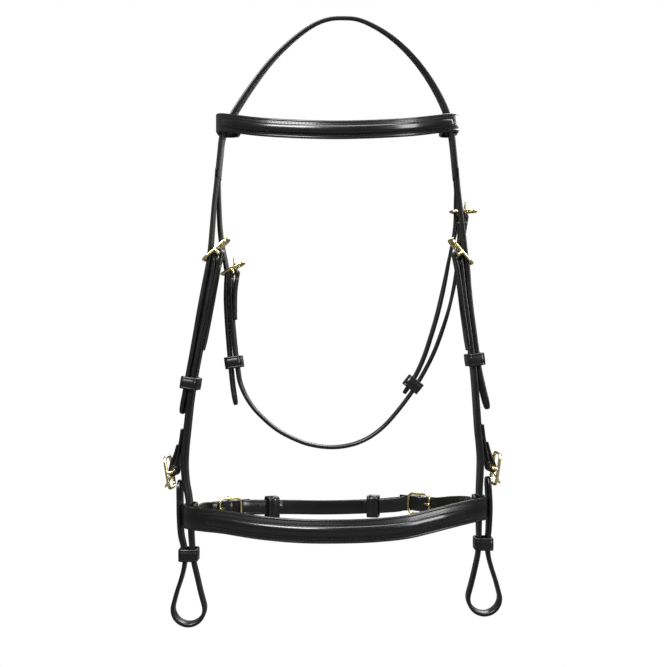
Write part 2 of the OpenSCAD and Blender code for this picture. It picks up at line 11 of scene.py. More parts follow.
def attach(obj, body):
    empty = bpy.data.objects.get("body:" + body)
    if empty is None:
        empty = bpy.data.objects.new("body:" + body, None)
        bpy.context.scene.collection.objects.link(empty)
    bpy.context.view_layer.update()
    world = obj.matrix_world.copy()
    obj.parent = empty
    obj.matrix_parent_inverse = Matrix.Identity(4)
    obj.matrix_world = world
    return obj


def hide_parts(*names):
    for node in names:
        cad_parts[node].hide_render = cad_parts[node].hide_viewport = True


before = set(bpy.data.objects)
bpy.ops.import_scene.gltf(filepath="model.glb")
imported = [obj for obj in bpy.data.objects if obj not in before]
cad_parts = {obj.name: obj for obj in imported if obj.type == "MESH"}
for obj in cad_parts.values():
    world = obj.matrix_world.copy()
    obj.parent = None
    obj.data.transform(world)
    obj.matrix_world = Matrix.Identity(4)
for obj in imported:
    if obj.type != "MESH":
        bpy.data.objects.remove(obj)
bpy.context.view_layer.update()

MM = 0.001
CHEEK_W, THROAT_W = 16.0, 13.0
CROWN_T, STRAP_T, THROAT_T, BAND_T, SKIVED_T, CHIN_T = 3.4, 3.2, 3.0, 2.2, 2.0, 2.4
BROWBAND_H, NOSEBAND_H = 15.0, 19.5
BROWBAND_ROLL, NOSEBAND_ROLL, RISE = BROWBAND_H * 0.48, NOSEBAND_H * 0.46, 3.0

# The bit loops: radius, how many degrees past half a turn each side goes, and the straight run into them.
LOOP_R, LOOP_SPREAD, LOOP_LEAD = 13.4, 15.0, 11.5

# Keepers: length along the strap, leather, room past its edges, corner radius, and the chin ones' depth.
KEEPER_L, KEEPER_T, KEEPER_PLAY, KEEPER_BEND, CHIN_KEEPER_DEPTH = 10.5, 1.8, 2.2, 2.2, 10.4

# The line pressed along a strap's edge: its near side, bottom and far side from the edge, and its depth.
CREASE_NEAR, CREASE_MID, CREASE_FAR, CREASE_DEPTH = 1.55, 1.9, 2.25, 0.22
# How far a strap's face bulges with a crease and without, and the narrowest width that is creased.
DOME, PLAIN_DOME, SMALLEST_CREASED = 0.06, 0.04, 9
TIP_BLUNT = 0.3  # the share of a strap's width left at its tip

# A strap's softened ends: reach past the end, then how much edge and what share of thickness are drawn in.
SOFT_END = ((0.16, 0.2, 0.14), (0.3, 0.6, 0.4))

# Leather turned round a bar: its gap to the bar, the tongue's slot, and how the skived leather thins out.
FOLD_GAP, SLOT_W, SLOT_REACH, SLOT_EASE = 0.3, 4.6, 5.0, 0.05
SKIVE_RUN, SKIVE_LOSS = 9, 0.9

HOLE_R, CHIN_HOLE_R, HOLE_GAP, HOLE_SIDES = 1.9, 1.6, 17, 20

# A stitch: (place along its length, share of its thickness) for each ring, and its slant to the row.
STITCH_RINGS = ((-0.5, 0.25), (-0.36, 0.8), (0, 1.0), (0.36, 0.8), (0.5, 0.25))
STITCH_SIDES, STITCH_SLANT = 6, (0.97, 0.16)

# Buckles: frame length and width, wire radius and bar radius.
LARGE = {"l": 29.0, "w": 24.5, "r": 1.35, "bar": 1.5}
SMALL = {"l": 23.0, "w": 20.0, "r": 1.15, "bar": 1.2}
BAR_DIP, FRAME_BEND = 4.0, 5
TONGUE_R, TONGUE_TIP_R, TONGUE_LIFT, TONGUE_OVERHANG = 1.15, 0.8, 1.25, 1.2
EYE_PLAY, EYE_WALL, EYE_HALF, EYE_BEVEL = 0.05, 1.1, 1.5, 0.35

# Each buckle: bar, size, side, tilt in degrees, toe, and how many degrees its tongue stands open.
BUCKLES = {
    "left_cheek": ((-99, 0, -200.7), LARGE, -1, 49, 0.06, 0),
    "right_cheek": ((103, 0, -202.3), LARGE, 1, -41.5, -0.06, 0),
    "left_bit": ((-137.4, 0, -386.1), LARGE, 1, 171, 0.12, 12),
    "right_bit": ((131.7, 0, -382.7), LARGE, -1, 188.6, -0.12, 12),
    "left_throatlash": ((-87.5, 25.4, -216.2), SMALL, -1, 62, 0.1, 34),
    "right_throatlash": ((110.6, 24.2, -167.3), SMALL, -1, 88, 0.3, 46),
}
# Each chin buckle: bar, size, side, tilt in degrees.
CHIN_BUCKLES = {
    "left_chin": ((-95.4, 56, -424), SMALL, 1, 7.5),
    "right_chin": ((76, 64, -421), SMALL, -1, 7.5),
}

# The routes of the upright straps: x, y, z and toe, which turns a strap's width out of fore-and-aft.
CROWN = [
    (-100.6, 6.5, -137, 0), (-98.8, 6.5, -118, 0), (-96, 6.5, -98.5, 0), (-87.5, 6.5, -82.2, 0),
    (-72, 6.5, -58.4, 0), (-55.5, 6.5, -36.8, 0), (-38.5, 6.5, -19.9, 0), (-22, 6.5, -7.3, 0),
    (-7.5, 6.5, -0.9, 0), (6.5, 6.5, 0.4, 0), (21, 6.5, -1.4, 0), (39, 6.5, -10.2, 0),
    (55.5, 6.5, -22.8, 0), (70.5, 6.5, -39, 0), (83.5, 6.5, -58, 0), (94, 6.5, -79.5, 0),
    (98.6, 6.5, -99, 0), (100.8, 6.5, -118, 0), (102.6, 6.5, -137, 0),
]
CHEEK_BILLET_L = [
    (-100.4, 0, -129, 0), (-101.4, 0, -142, 0), (-103.2, 0, -158, 0), (-104.9, 0, -180, 0.03),
    (-106, 0, -194, 0.05), (-107, 0, -205, 0.08), (-108.4, 0, -214, 0.1), (-110.6, 0, -226, 0.13),
    (-114.3, 0, -246.5, 0.16), (-118, 0, -268, 0.16), (-121.6, 0, -288.5, 0.16),
    (-124.8, 0, -306, 0.17), (-127.2, 0, -320, 0.18), (-130.6, 0, -337, 0.18),
]
CHEEK_BILLET_R = [
    (102.4, 0, -129, 0), (103.4, 0, -142, 0), (105.4, 0, -160, 0), (107.6, 0, -180, -0.03),
    (109, 0, -194, -0.05), (110, 0, -204, -0.08), (111.2, 0, -213, -0.1), (112.2, 0, -229, -0.12),
    (114.2, 0, -249, -0.13), (117, 0, -270, -0.13), (118.9, 0, -284, -0.13),
    (121, 0, -299, -0.14), (124.2, 0, -314, -0.15), (128.8, 0, -333, -0.16),
]
THROAT_BILLET_L = [
    (-100.4, 14.5, -129, 0), (-100.9, 15.5, -142, 0.02), (-100.8, 18.5, -158, 0.05),
    (-100.4, 22, -175, 0.08), (-98.8, 25, -192, 0.1), (-96, 26, -206, 0.1), (-94.4, 26, -217, 0.1),
    (-94.8, 26, -228, 0.1), (-95, 26.5, -242, 0.1), (-94, 27.5, -262, 0.1), (-92.4, 29, -284, 0.1),
    (-91, 29.5, -300, 0.1), (-89.4, 30, -316, 0.1), (-87, 30, -331, 0.1),
]
THROAT_BILLET_R = [
    (102.4, 14.5, -129, 0), (103.2, 18, -142, 0.05), (104.2, 23.4, -154, 0.2), (104.8, 26.2, -166, 0.28),
    (104, 26.7, -178, 0.24), (101.6, 27, -190, 0.12), (98.2, 27.5, -206, 0.05),
    (95.8, 28, -219, 0), (92, 28, -237, -0.05), (87.6, 28, -255, -0.05), (82.4, 28, -272.5, -0.05),
    (76.4, 29, -290.5, -0.05), (69, 30, -306.5, -0.05), (59.5, 31, -321, -0.05),
]
CHEEKPIECE_L = [
    (-101.8, 0, -200.7, 0.06), (-103, 0, -212, 0.1), (-105, 0, -226, 0.13), (-108.8, 0, -246.5, 0.16),
    (-112.9, 0, -268.5, 0.16), (-117, 0, -289, 0.16), (-120.2, 0, -306, 0.17), (-123.6, 0, -328, 0.18),
    (-126.2, 0, -351, 0.2), (-127.6, 0, -364, 0.2), (-128.4, 0, -376, 0.2), (-128.2, 0, -386, 0.18),
    (-127, 0, -397, 0.16), (-124.9, 0, -408, 0.14), (-123.3, 0, -424, 0.12), (-122.7, 0, -440, 0.08),
    (-121.8, 0, -452, 0.04), (-120.6, 0, -463, 0), (-117.8, 0, -475, 0),
]
TURN_BACK_L = [
    (-96.2, 0, -200.7, 0.06), (-99.6, 0, -212, 0.1), (-102.3, 0, -226, 0.13),
    (-106.2, 0, -246.5, 0.16), (-110.4, 0, -268.5, 0.16), (-113.4, 0, -283, 0.16),
]
BIT_BILLET_L = [
    (-130.6, 0, -475, 0), (-128.2, 0, -463, 0), (-128.7, 0, -452, 0.04), (-131.4, 0, -439, 0.08),
    (-132.2, 0, -424, 0.12), (-132.4, 0, -410, 0.12), (-132.5, 0, -401, 0.12), (-132.3, 0, -393.5, 0.12),
]
CHEEKPIECE_R = [
    (105.8, 0, -202.3, -0.06), (106.5, 0, -214, -0.1), (107.8, 0, -229, -0.12), (110.3, 0, -249, -0.13),
    (113.1, 0, -270, -0.13), (115, 0, -284, -0.13), (116.8, 0, -299, -0.14), (118.1, 0, -313, -0.15),
    (119.2, 0, -328, -0.16), (120.8, 0, -351, -0.17), (122.2, 0, -364, -0.18), (122.8, 0, -376, -0.16),
    (122.4, 0, -389, -0.14), (121.8, 0, -402, -0.12), (121.6, 0, -418, -0.1), (121.4, 0, -434, -0.06),
    (121.4, 0, -446, -0.02), (120.6, 0, -456, 0), (118.6, 0, -466, 0),
]
TURN_BACK_R = [
    (100.2, 0, -202.3, -0.06), (102.9, 0, -214, -0.1), (105.2, 0, -229, -0.12), (107.7, 0, -249, -0.13),
    (110.6, 0, -270, -0.13), (112.4, 0, -283, -0.13),
]
BIT_BILLET_R = [
    (131.5, 0, -466, 0), (129.2, 0, -456, 0), (128.9, 0, -446, -0.02), (129.8, 0, -434, -0.06),
    (130.3, 0, -418, -0.1), (129.9, 0, -407, -0.12), (129.3, 0, -398, -0.12), (129, 0, -390.5, -0.12),
]
CHAPE_L = [
    (-134.6, 0, -386.1, 0.12), (-134, 0, -377.5, 0.14), (-132.2, 0, -369, 0.18),
    (-130.3, 0, -359.5, 0.2), (-128.95, 0, -350, 0.2),
]
CHAPE_BACK_L = [
    (-140.2, 0, -386.1, 0.12), (-138, 0, -378, 0.14), (-135, 0, -371, 0.18), (-133, 0, -363.5, 0.19),
]
CHAPE_R = [
    (128.9, 0, -382.7, -0.12), (128.1, 0, -375.5, -0.14), (126.2, 0, -367, -0.16),
    (124.5, 0, -357, -0.17), (123.1, 0, -346, -0.17),
]
CHAPE_BACK_R = [
    (134.5, 0, -382.7, -0.12), (131.9, 0, -375.8, -0.14), (129, 0, -368.5, -0.16), (127.2, 0, -361, -0.17),
]
THROATLASH = [
    (-90, 25.4, -216.2, 0.1), (-90.6, 25.6, -232, 0.1), (-90.2, 27, -249, 0.1), (-89.2, 28, -265, 0.1),
    (-87.2, 29.5, -286, 0.1), (-85.4, 30, -299, 0.08), (-83.2, 31, -312, 0.06), (-77.4, 32, -325.5, 0.03),
    (-67.8, 33, -338.5, 0), (-51, 34, -353.2, 0), (-32, 35, -363, 0), (-18, 35, -367, 0),
    (-5, 35, -368.4, 0), (7, 35, -367.6, 0), (19, 35, -364.6, 0), (31, 34, -358.6, 0),
    (43, 33, -349, 0), (56, 32, -334, 0), (68, 31, -317.5, 0), (77.5, 30, -301.5, 0),
    (85.6, 29, -285, 0), (92, 28.5, -268, 0), (97.4, 28, -251, 0.05), (101.6, 28, -234, 0.1),
    (104.6, 27, -217, 0.15), (106.6, 26.2, -199, 0.2), (107.8, 25.2, -183, 0.25), (108, 24.2, -167.3, 0.3),
]
THROAT_TURN_L = [
    (-85, 25.4, -216.2, 0.1), (-87.2, 25.6, -232, 0.1), (-87.6, 27, -249, 0.1), (-87, 27.5, -257, 0.1),
]
THROAT_TURN_R = [
    (113.2, 24.2, -167.3, 0.3), (111, 25.2, -183, 0.25), (109.4, 26.2, -199, 0.2), (108.6, 26.5, -207, 0.18),
]
# The routes of the bands and the chin strap: x, y, z.
BROWBAND = [
    (-83, -9.5, -91.3), (-82.8, 2, -91.3), (-83.4, 17, -91.3), (-86, 25.5, -91.3), (-92, 28, -91.3),
    (-98.2, 25.5, -91.3), (-100.4, 17, -91.3), (-100.5, 0, -91.3), (-99.2, -14, -91.8),
    (-93.6, -30, -94), (-81.6, -46, -97.8), (-60, -62, -102.5), (-30, -72, -105.6), (0, -75, -106.7),
    (30, -72, -105.6), (60, -62, -102.5), (83, -46, -97.8), (96, -30, -94), (101.8, -14, -91.8),
    (103, 0, -91.3), (102.8, 17, -91.3), (101, 25.5, -91.3), (96, 27.8, -91.3),
    (91.4, 25.5, -91.3), (90, 17, -91.3), (89.8, 2, -91.3), (90, -9.5, -91.3),
]
NOSEBAND = [
    (-118.9, -10, -423), (-119.4, 0, -423), (-118.8, 8, -423), (-121.2, 12.4, -423),
    (-125.2, 11.6, -423), (-127, 6, -423), (-128, -4, -423), (-127.6, -12, -423), (-121, -24, -423),
    (-108, -35, -423), (-92, -44, -423.4), (-62, -58, -426), (-30, -67, -427.5), (0, -70, -427.5),
    (30, -67, -427), (56, -60, -425.4), (74, -52, -422.6), (92, -43, -419.4), (108, -33, -417),
    (119, -23, -416), (126, -12, -416), (126.2, -4, -416), (125.4, 6, -416), (123.6, 11.6, -416),
    (119.6, 12.4, -416), (117.2, 8, -416), (117.6, 0, -416), (117.2, -10, -416),
]
CHIN_STRAP = [
    (-72.6, 70.8, -425), (-42, 80.6, -426.4), (-8, 84.6, -427.2), (28, 82.8, -426), (58, 76.5, -423),
]

# Each noseband billet: its route before its buckle and after it.
REAR_BILLET_L = (
    [(-116.8, -4, -421.4), (-116.4, 7, -421.4), (-115.2, 22, -422), (-113.4, 35, -423)],
    [(-77.8, 64.3, -424.7), (-70.2, 66.8, -425), (-58, 70.8, -425.4), (-47, 74.6, -426)],
)
REAR_BILLET_R = (
    [(115, -4, -414.6), (114.4, 7, -414.8), (110.4, 27, -416.6), (102, 42.6, -418.6)],
    [(56.4, 72, -423), (45, 75.3, -424.4), (33, 77.8, -425.4), (24.5, 79.2, -425.9)],
)
# How a billet crosses its buckle, and the chin strap's turned-back leg: distance above the bar and out of it.
CROSSING = [
    (18, -0.7), (12.4, -0.6), (9.6, 0.2), (5.9, 2.2), (2.3, 4.25),
    (0, 4.9), (-2.4, 4.5), (-6, 3.35), (-9.7, 2.75), (-14, 2.7),
]
CHIN_LEG = [(-5, 1.2), (-9, 0.35), (-14, 0.25), (-22, 0.3)]
LOOP_CENTRE_L, LOOP_CENTRE_R = (-124.8, 0, -502.5), (125.6, 0, -493.3)

# Each keeper: centre, lean in degrees, toe, strap width and clear depth.
KEEPERS = {
    "left_cheek": ((-123.2, 0, -311), 9, 0.17, CHEEK_W, 10.8),
    "right_cheek": ((117.9, 0, -291), -7.6, -0.135, CHEEK_W, 10.6),
    "left_throatlash": ((-88.5, 29.4, -294), -8.5, 0.1, THROAT_W, 11.2),
    "right_throatlash": ((67.2, 30.6, -313.2), 38, 0, THROAT_W, 11.8),
    "left_bit": ((-124.8, 0, -456.5), 0, 0.02, CHEEK_W, 12.8),
    "right_bit": ((125.1, 0, -447), 0, -0.02, CHEEK_W, 12.2),
}
# Each chin keeper: centre, turn in degrees.
CHIN_KEEPERS = {"left_chin": ((-57.4, 73.2, -425.6), 21), "right_chin": ((34, 79.8, -425.5), -10.5)}

UP = Vector((0, 0, 1))
FINE = 8

# ---- Materials ----

def new_material(name):
    """A material with its node tree and its Principled shader."""
    mat = bpy.data.materials.new(name)
    mat.use_nodes = True
    return mat, mat.node_tree, mat.node_tree.nodes["Principled BSDF"]


def add_node(tree, kind, **values):
    """A new node with its inputs set. An underscore stands for a space in an input's name."""
    node = tree.nodes.new(kind)
    for key, value in values.items():
        node.inputs[key.replace("_", " ")].default_value = value
    return node


def leather(name, colour, rough, coat, grain, bump):
    """Dyed leather: a fine pebble grain, faint broad mottling and a waxed coat."""
    mat, tree, bsdf = new_material(name)
    coords = add_node(tree, "ShaderNodeTexCoord")
    pebble = add_node(tree, "ShaderNodeTexVoronoi", Scale=grain)
    fibre = add_node(tree, "ShaderNodeTexNoise", Scale=grain * 2.3, Detail=3)
    broad = add_node(tree, "ShaderNodeTexNoise", Scale=38, Detail=4)
    for texture in (pebble, fibre, broad):
        tree.links.new(coords.outputs["Object"], texture.inputs["Vector"])
    height = add_node(tree, "ShaderNodeMath")
    height.operation = "MULTIPLY_ADD"
    height.inputs[1].default_value = 0.6
    tree.links.new(pebble.outputs["Distance"], height.inputs[0])
    tree.links.new(fibre.outputs["Fac"], height.inputs[2])
    bumper = add_node(tree, "ShaderNodeBump", Strength=bump, Distance=0.0003)
    tree.links.new(height.outputs[0], bumper.inputs["Height"])
    tree.links.new(bumper.outputs["Normal"], bsdf.inputs["Normal"])
    tone = add_node(tree, "ShaderNodeMapRange", To_Min=rough - 0.07, To_Max=rough + 0.1)
    tree.links.new(broad.outputs["Fac"], tone.inputs["Value"])
    tree.links.new(tone.outputs["Result"], bsdf.inputs["Roughness"])
    ramp = add_node(tree, "ShaderNodeValToRGB")
    for stop, place, share in zip(ramp.color_ramp.elements, (0.3, 0.75), (0.75, 1.3)):
        stop.position = place
        stop.color = (*[share * c for c in colour], 1)
    tree.links.new(broad.outputs["Fac"], ramp.inputs["Fac"])
    tree.links.new(ramp.outputs["Color"], bsdf.inputs["Base Color"])
    bsdf.inputs["Coat Weight"].default_value = coat
    bsdf.inputs["Coat Roughness"].default_value = 0.16
    bsdf.inputs["Specular IOR Level"].default_value = 0.3
    return mat


def metal(name, colour, rough):
    """Polished brass with light handling marks."""
    mat, tree, bsdf = new_material(name)
    bsdf.inputs["Metallic"].default_value = 1
    bsdf.inputs["Base Color"].default_value = (*colour, 1)
    coords = add_node(tree, "ShaderNodeTexCoord")
    marks = add_node(tree, "ShaderNodeTexNoise", Scale=260)
    tree.links.new(coords.outputs["Object"], marks.inputs["Vector"])
    tone = add_node(tree, "ShaderNodeMapRange", To_Min=rough - 0.05, To_Max=rough + 0.1)
    tree.links.new(marks.outputs["Fac"], tone.inputs["Value"])
    tree.links.new(tone.outputs["Result"], bsdf.inputs["Roughness"])
    return mat


DYED_BLACK = (0.0046, 0.0042, 0.0044)
GRAIN_MAT = leather("black_leather", DYED_BLACK, 0.3, 0.3, 1300, 0.05)
FLESH_MAT = leather("flesh_side", (0.013, 0.0115, 0.011), 0.6, 0.0, 900, 0.35)
PAD_MAT = leather("padded_leather", DYED_BLACK, 0.24, 0.5, 1100, 0.05)
BRASS_MAT = metal("brass", (0.88, 0.76, 0.36), 0.2)
STRAP_MATS = [GRAIN_MAT, FLESH_MAT]
THREAD_MAT, _, thread_bsdf = new_material("thread")
thread_bsdf.inputs["Base Color"].default_value = (0.014, 0.013, 0.0135, 1)
thread_bsdf.inputs["Roughness"].default_value = 0.55


# ---- Curves ----

def spline(route, steps=FINE):
    """The points of a smooth curve through a route of points with any number of values."""
    pts = [tuple(p) for p in route]
    out = []
    last = len(pts) - 1
    for i in range(last):
        a, b, c, d = pts[max(i - 1, 0)], pts[i], pts[i + 1], pts[min(i + 2, last)]
        for k in range(steps):
            t = k / steps
            out.append(tuple(
                0.5 * (2 * q + (r - p) * t + (2 * p - 5 * q + 4 * r - s) * t * t
                       + (3 * q - p - 3 * r + s) * t ** 3)
                for p, q, r, s in zip(a, b, c, d)
            ))
    out.append(pts[-1])
    return out


def spot(p):
    return Vector(p[:3])


def lengths(pts):
    """Distance of each point along the curve."""
    out = [0.0]
    for a, b in zip(pts, pts[1:]):
        out.append(out[-1] + (spot(b) - spot(a)).length)
    return out


def strap_across(p):
    """The direction of an upright strap's width at a route point. Near the crown it leans back."""
    lean = 0.21 * max(0.0, 1 + p[2] / 100)
    return Vector((p[3] if len(p) > 3 else 0, 1, lean))


def band_across(p):
    """The direction of a band's width, which is upright everywhere."""
    return UP


def axes_along(pts, across, closed=False):
    """(point, along, wide, deep) for each point of a curve."""
    n = len(pts)
    out = []
    for i, p in enumerate(pts):
        a = pts[(i - 1) % n] if closed else pts[max(i - 1, 0)]
        b = pts[(i + 1) % n] if closed else pts[min(i + 1, n - 1)]
        along = (spot(b) - spot(a)).normalized()
        w = across(p)
        wide = (w - w.dot(along) * along).normalized()
        out.append((spot(p), along, wide, along.cross(wide)))
    return out


def turned(frames, place):
    """The frames of a curve moved by a matrix."""
    r3 = place.to_3x3()
    return [(place @ p, r3 @ along, r3 @ wide, r3 @ deep) for p, along, wide, deep in frames]


def cut_at(pts, distance):
    """Splits dense points at a distance along them."""
    dist = lengths(pts)
    for i in range(1, len(pts)):
        if dist[i] >= distance:
            f = (distance - dist[i - 1]) / (dist[i] - dist[i - 1])
            mid = tuple(a + (b - a) * f for a, b in zip(pts[i - 1], pts[i]))
            return pts[:i] + [mid], [mid] + pts[i:]
    return pts, []


# ---- Meshes ----

class Builder:
    """Collects the vertices, faces and face materials of one piece."""

    def __init__(self):
        self.verts, self.faces, self.mats, self.flat = [], [], [], []

    def add(self, verts, faces, mats=None, flat=()):
        base = len(self.verts)
        self.verts += [tuple(Vector(v) * MM) for v in verts]
        self.faces += [tuple(base + i for i in f) for f in faces]
        self.mats += mats if mats else [0] * len(faces)
        self.flat += [i in flat for i in range(len(faces))]

    def piece(self, name, body, slot_name, materials, replaces=()):
        mesh = bpy.data.meshes.new(name)
        mesh.from_pydata(self.verts, [], self.faces)
        for m in materials:
            mesh.materials.append(m)
        mesh.polygons.foreach_set("material_index", self.mats)
        mesh.polygons.foreach_set("use_smooth", [not f for f in self.flat])
        mesh.update()
        obj = bpy.data.objects.new(name, mesh)
        bpy.context.scene.collection.objects.link(obj)
        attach(obj, body)
        if replaces:
            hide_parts(*replaces)
        return obj


def strap_profile(w, t, crease=True):
    """A strap's section as (wide, deep) points, anticlockwise, with rounded edges and a crease along each."""
    h, k = w / 2, t / 2
    r = min(0.42 * t, 0.95)
    pts = []

    def corner(cx, cy, start):
        for i in range(4):
            a = math.radians(start + 30 * i)
            pts.append((cx + r * math.cos(a), cy + r * math.sin(a)))

    corner(h - r, k - r, 0)
    if crease:
        pts += [(h - CREASE_NEAR, k), (h - CREASE_MID, k - CREASE_DEPTH), (h - CREASE_FAR, k), (0, k + DOME),
                (-h + CREASE_FAR, k), (-h + CREASE_MID, k - CREASE_DEPTH), (-h + CREASE_NEAR, k)]
    else:
        pts.append((0, k + PLAIN_DOME))
    corner(-h + r, k - r, 90)
    corner(-h + r, -k + r, 180)
    pts.append((0, -k))
    corner(h - r, -k + r, 270)
    return pts


def widen_layout(profile, count):
    """Gives an uncreased section the same number of points as a creased one."""
    right, top, left = profile[3], profile[4], profile[5]
    half = (count - len(profile)) // 2
    shares = [(i + 1) / (half + 1) for i in range(half)]
    before = [tuple(Vector(right).lerp(Vector(top), f)) for f in shares]
    after = [tuple(Vector(top).lerp(Vector(left), f)) for f in shares]
    return profile[:4] + before + [top] + after + profile[5:]


def scaled(profile, dw, dt):
    """A section drawn in by dw at each edge and dt at each face, for a rounded end."""
    w = max(u for u, _ in profile)
    t = max(v for _, v in profile)
    return [(u * (w - dw) / w, v * (t - dt) / t) for u, v in profile]


def tip_share(away, tip):
    """A strap's share of its full width at a distance from the end of its rounded tip."""
    if tip > 0 and away < tip:
        return TIP_BLUNT + (1 - TIP_BLUNT) * math.sqrt(max(0.0, 1 - (1 - away / tip) ** 2))
    return 1.0


def add_sweep(b, frames, profiles, inner=None, closed=False):
    """Skins a row of sections. inner is 1 or -1 where that deep side takes material 1, the flesh side."""
    n, m = len(frames), len(profiles[0])
    verts, faces, mats, flat = [], [], [], set()
    for (p, _, wide, deep), profile in zip(frames, profiles):
        verts += [p + wide * u + deep * v for u, v in profile]
    for i in range(n if closed else n - 1):
        j = (i + 1) % n
        limit = max(v for _, v in profiles[i]) * 0.9
        for k in range(m):
            q = (k + 1) % m
            faces.append((i * m + k, i * m + q, j * m + q, j * m + k))
            mean_v = (profiles[i][k][1] + profiles[i][q][1]) / 2
            mats.append(1 if inner is not None and mean_v * inner > limit else 0)
    if not closed:
        faces += [tuple(range(m - 1, -1, -1)), tuple(range((n - 1) * m, n * m))]
        flat |= {len(faces) - 2, len(faces) - 1}
        mats += [0, 0]
    b.add(verts, faces, mats=mats, flat=flat)


def denser_end(pts, run, step=0.7):
    """Adds points along the last run of a curve, where a strap's outline curves to its tip."""
    dist = lengths(pts)
    out = []
    for i in range(len(pts) - 1):
        near_end = dist[-1] - dist[i] < run
        parts = max(1, int((dist[i + 1] - dist[i]) / step)) if near_end else 1
        for k in range(parts):
            f = k / parts
            out.append(tuple(x + (y - x) * f for x, y in zip(pts[i], pts[i + 1])))
    out.append(pts[-1])
    return out


def add_strap(b, pts, across, width, thick, tip=0, inner=None, crease=True, shift=0.0):
    """A flat strap along dense points. thick is a number or a function of the distance along it."""
    if tip:
        pts = denser_end(pts, tip + 2)
    dist = lengths(pts)
    frames, profiles = [], []
    for (p, along, wide, deep), s in zip(axes_along(pts, across), dist):
        t = thick(s) if callable(thick) else thick
        w = width * tip_share(dist[-1] - s, tip)
        frames.append((p + wide * shift, along, wide, deep))
        profiles.append(strap_profile(w, t, crease and w > SMALLEST_CREASED))
    for end, way in ((0, -1), (-1, 1)):
        p, along, wide, deep = frames[end]
        t = max(v for _, v in profiles[end])
        soft = [(p + along * way * reach, along, wide, deep) for reach, _, _ in SOFT_END]
        cut = [scaled(profiles[end], edge, t * face) for _, edge, face in SOFT_END]
        if way < 0:
            frames[:0], profiles[:0] = soft[::-1], cut[::-1]
        else:
            frames += soft
            profiles += cut
    most = max(len(profile) for profile in profiles)
    profiles = [p if len(p) == most else widen_layout(p, most) for p in profiles]
    add_sweep(b, frames, profiles, inner)


def half_turn(centre, back, far, radius, extra=()):
    """Half a turn of strap round a bar, from the back leg's start to the main leg's."""
    n = 4 * FINE
    out = []
    for i in range(n + 1):
        a = math.pi * i / n
        p = Vector(centre) + radius * (math.cos(a) * back + math.sin(a) * far)
        out.append((*p, *extra))
    return out


def add_fold(b, centre, size, back_pts, main_pts, far, across, width, main_t, inner):
    """Leather turned round a buckle bar, slotted for the tongue, with its turned-back leg.

    Returns the rest of the main leg, and its thickness as a function of the distance along it.
    """
    radius = size["bar"] + FOLD_GAP + SKIVED_T / 2
    back_dir = (spot(back_pts[0]) - Vector(centre)).normalized()
    arc = half_turn(centre, back_dir, far, radius, main_pts[0][3:])
    back_near, back_rest = cut_at(back_pts, SLOT_REACH)
    main_near, main_rest = cut_at(main_pts, SLOT_REACH)
    ribbon = back_near[::-1] + arc[1:-1] + main_near
    strip = (width - SLOT_W) / 2
    for side in (-1, 1):
        add_strap(b, ribbon, across, strip, SKIVED_T - SLOT_EASE, inner=inner, crease=False,
                  shift=side * (SLOT_W + strip) / 2)
    back_end = lengths(back_rest)[-1]

    def back_thick(s):
        return SKIVED_T - SKIVE_LOSS * max(0.0, min(1.0, (s - back_end + SKIVE_RUN) / SKIVE_RUN))

    def main_thick(s):
        return SKIVED_T + (main_t - SKIVED_T) * min(1.0, s / SKIVE_RUN)

    add_strap(b, back_rest, across, width, back_thick)
    return main_rest, main_thick


def add_stitches(b, pts, across, offset, face, thick, start=0.0, stop=None, gap=3.3, long=2.5, fat=0.3):
    """A row of stitches along a strap: offset is across its width, face is +1 or -1 for its deep side."""
    dist = lengths(pts)
    end = dist[-1] if stop is None else stop
    rows = axes_along(pts, across)
    faces = []
    for r in range(len(STITCH_RINGS) - 1):
        for k in range(STITCH_SIDES):
            q = (k + 1) % STITCH_SIDES
            low, high = r * STITCH_SIDES, (r + 1) * STITCH_SIDES
            faces.append((low + k, low + q, high + q, high + k))
    s, i = start, 0
    while s < min(end, dist[-1] - 0.2):
        while i < len(dist) - 2 and dist[i + 1] < s:
            i += 1
        f = (s - dist[i]) / max(1e-6, dist[i + 1] - dist[i])
        p = rows[i][0].lerp(rows[i + 1][0], f)
        along, wide, deep = (rows[i][k].lerp(rows[i + 1][k], f).normalized() for k in (1, 2, 3))
        t = thick(s) if callable(thick) else thick
        middle = p + wide * offset + deep * face * (t / 2 + 0.02)
        slant = (along * STITCH_SLANT[0] + wide * STITCH_SLANT[1]).normalized()
        side = slant.cross(deep).normalized()
        verts = []
        for x, r in STITCH_RINGS:
            for k in range(STITCH_SIDES):
                a = math.tau * k / STITCH_SIDES
                out = side * math.cos(a) + deep * face * math.sin(a) * 0.8
                verts.append(middle + slant * x * long + out * r * fat)
        b.add(verts, faces)
        s += gap


def round_ring(half_x, half_y, bend, steps=6):
    """Points of a rounded rectangle, anticlockwise."""
    out = []
    for sx, sy, start in ((1, 1, 0), (-1, 1, 90), (-1, -1, 180), (1, -1, 270)):
        for i in range(steps + 1):
            a = math.radians(start + 90 * i / steps)
            out.append((sx * (half_x - bend) + bend * math.cos(a), sy * (half_y - bend) + bend * math.sin(a)))
    return out


